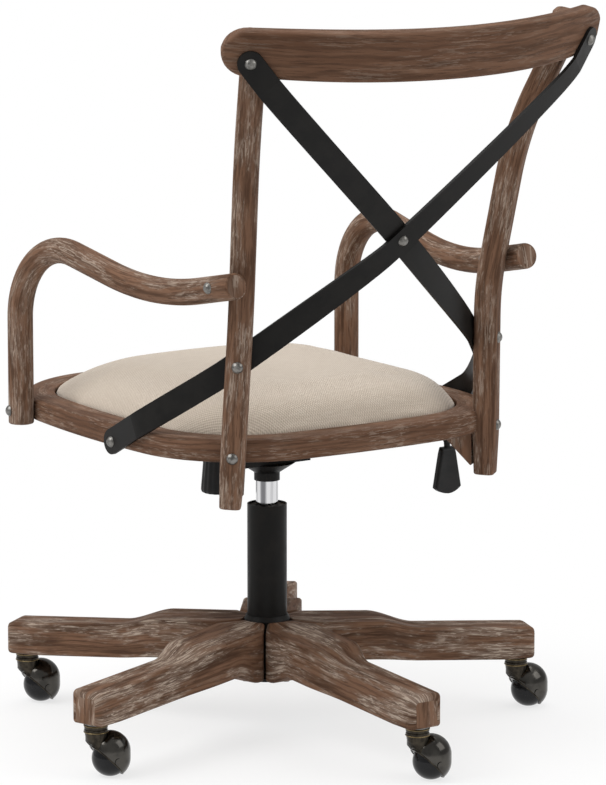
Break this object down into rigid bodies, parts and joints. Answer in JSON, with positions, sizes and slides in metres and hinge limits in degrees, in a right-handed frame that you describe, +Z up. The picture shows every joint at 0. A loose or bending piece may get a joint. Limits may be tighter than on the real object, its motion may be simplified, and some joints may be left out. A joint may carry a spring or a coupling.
{
  "type": "office chair",
  "caption": "Wooden swivel office chair with bent arms, crossed steel back straps, a domed fabric seat, a tilt mechanism, a gas lift and a star base on ball casters.",
  "frame": {"origin": "on the floor under the column axis", "axes": "+Z up along the column; the sitter faces -Y and has +X on the left hand"},
  "size_m": [0.6975, 0.7107, 0.9295],
  "materials": {
    "oak": "brushed grey-brown oak with pale limed grain",
    "plywood": "plain plywood",
    "linen": "cream linen, fine basket weave",
    "black_steel": "satin black",
    "bolt_steel": "bright zinc",
    "plain_steel": "plain steel",
    "chrome": "polished chrome",
    "black_plastic": "moulded black",
    "dark_bronze": "dark bronze plate",
    "gloss_black": "gloss black"
  },
  "bodies": {
    "base": {"base_leg_1": "oak", "base_leg_2": "oak", "base_leg_3": "oak", "base_leg_4": "oak", "base_leg_5": "oak", "hub_sleeve": "black_steel", "hub_plate": "black_steel", "hub_screws": "bolt_steel", "column_tube": "black_steel", "guide_bush": "black_plastic", "thrust_bearing": "plain_steel", "caster_sockets": "plain_steel"},
    "spindle": {"piston_rod": "plain_steel", "retaining_clip": "plain_steel"},
    "lift": {"gas_cylinder": "chrome", "mechanism_housing": "black_steel", "tilt_pin": "plain_steel", "tilt_spring": "plain_steel"},
    "seat": {"seat_plate": "black_steel", "plate_screws": "bolt_steel", "seat_board": "plywood", "seat_frame": "oak", "seat_cushion": "linen", "post_left": "oak", "post_right": "oak", "gussets": "oak", "arm_left": "oak", "arm_right": "oak", "top_rail": "oak", "strap_a": "black_steel", "strap_b": "black_steel", "rail_bolts": "bolt_steel", "cross_bolt": "bolt_steel", "strap_bolts": "bolt_steel", "post_bolts": "bolt_steel", "ring_bolts": "bolt_steel", "arm_bolts": "bolt_steel", "foot_bolts": "bolt_steel"},
    "lock": {"lock_slider": "plain_steel"},
    "lever": {"lever_bar": "black_steel", "lever_paddle": "black_plastic"},
    "valve": {"valve_button": "plain_steel"},
    "tension": {"tension_knob": "black_plastic", "tension_screw": "plain_steel"},
    "nut": {"tension_nut": "plain_steel"},
    "caster_1": {"caster_hood_1": "dark_bronze", "caster_axle_1": "dark_bronze"},
    "ball_1": {"caster_ball_1": "gloss_black"},
    "caster_2": {"caster_hood_2": "dark_bronze", "caster_axle_2": "dark_bronze"},
    "ball_2": {"caster_ball_2": "gloss_black"},
    "caster_3": {"caster_hood_3": "dark_bronze", "caster_axle_3": "dark_bronze"},
    "ball_3": {"caster_ball_3": "gloss_black"},
    "caster_4": {"caster_hood_4": "dark_bronze", "caster_axle_4": "dark_bronze"},
    "ball_4": {"caster_ball_4": "gloss_black"},
    "caster_5": {"caster_hood_5": "dark_bronze", "caster_axle_5": "dark_bronze"},
    "ball_5": {"caster_ball_5": "gloss_black"}
  },
  "joints": [
    {"name": "swivel", "type": "hinge", "parent": "base", "child": "spindle", "pos_m": [0, 0, 0.075], "axis": [0, 0, 1], "continuous": true},
    {"name": "height", "type": "slide", "parent": "spindle", "child": "lift", "axis": [0, 0, 1], "range_m": [-0.025, 0.07]},
    {"name": "tilt", "type": "hinge", "parent": "lift", "child": "seat", "pos_m": [0, -0.038, 0.372], "axis": [-1, 0, 0], "range_deg": [0, 7.5], "stiffness_Nm_per_rad": 110, "springref_deg": -22.92, "deforming": ["tilt_spring"]},
    {"name": "tilt_lock", "type": "slide", "parent": "lift", "child": "lock", "axis": [-1, 0, 0], "range_m": [0, 0.006]},
    {"name": "height_lever", "type": "hinge", "parent": "lock", "child": "lever", "pos_m": [-0.035, 0, 0.376], "axis": [0, 1, 0], "range_deg": [0, 3.4], "stiffness_Nm_per_rad": 3, "springref_deg": -2.86},
    {"name": "valve", "type": "slide", "parent": "lift", "child": "valve", "axis": [0, 0, -1], "range_m": [0, 0.0031]},
    {"name": "tension", "type": "hinge", "parent": "lift", "child": "tension", "pos_m": [0, -0.108, 0.3], "axis": [0, 0, 1], "range_deg": [0, 1440]},
    {"name": "tension_nut", "type": "slide", "parent": "lift", "child": "nut", "axis": [0, 0, 1], "range_m": [0, 0.0081]},
    {"name": "caster_swivel_1", "type": "hinge", "parent": "base", "child": "caster_1", "pos_m": [0.0055, 0.33155, 0.06], "axis": [0, 0, 1], "continuous": true},
    {"name": "ball_roll_1", "type": "hinge", "parent": "caster_1", "child": "ball_1", "pos_m": [-0.01282, 0.33413, 0.0225], "axis": [0.1392, 0.9903, 0], "continuous": true},
    {"name": "caster_swivel_2", "type": "hinge", "parent": "base", "child": "caster_2", "pos_m": [0.31703, 0.09723, 0.06], "axis": [0, 0, 1], "continuous": true},
    {"name": "ball_roll_2", "type": "hinge", "parent": "caster_2", "child": "ball_2", "pos_m": [0.29871, 0.0998, 0.0225], "axis": [0.1392, 0.9903, 0], "continuous": true},
    {"name": "caster_swivel_3", "type": "hinge", "parent": "base", "child": "caster_3", "pos_m": [0.19043, -0.27147, 0.06], "axis": [0, 0, 1], "continuous": true},
    {"name": "ball_roll_3", "type": "hinge", "parent": "caster_3", "child": "ball_3", "pos_m": [0.17211, -0.26889, 0.0225], "axis": [0.1392, 0.9903, 0], "continuous": true},
    {"name": "caster_swivel_4", "type": "hinge", "parent": "base", "child": "caster_4", "pos_m": [-0.19933, -0.265, 0.06], "axis": [0, 0, 1], "continuous": true},
    {"name": "ball_roll_4", "type": "hinge", "parent": "caster_4", "child": "ball_4", "pos_m": [-0.21765, -0.26243, 0.0225], "axis": [0.1392, 0.9903, 0], "continuous": true},
    {"name": "caster_swivel_5", "type": "hinge", "parent": "base", "child": "caster_5", "pos_m": [-0.31363, 0.10769, 0.06], "axis": [0, 0, 1], "continuous": true},
    {"name": "ball_roll_5", "type": "hinge", "parent": "caster_5", "child": "ball_5", "pos_m": [-0.33195, 0.11026, 0.0225], "axis": [0.1392, 0.9903, 0], "continuous": true}
  ],
  "couplings": [
    {"joint": "valve", "follows": "height_lever", "m_per_rad": 0.05},
    {"joint": "tension_nut", "follows": "tension", "m_per_rad": 0.000318}
  ]
}
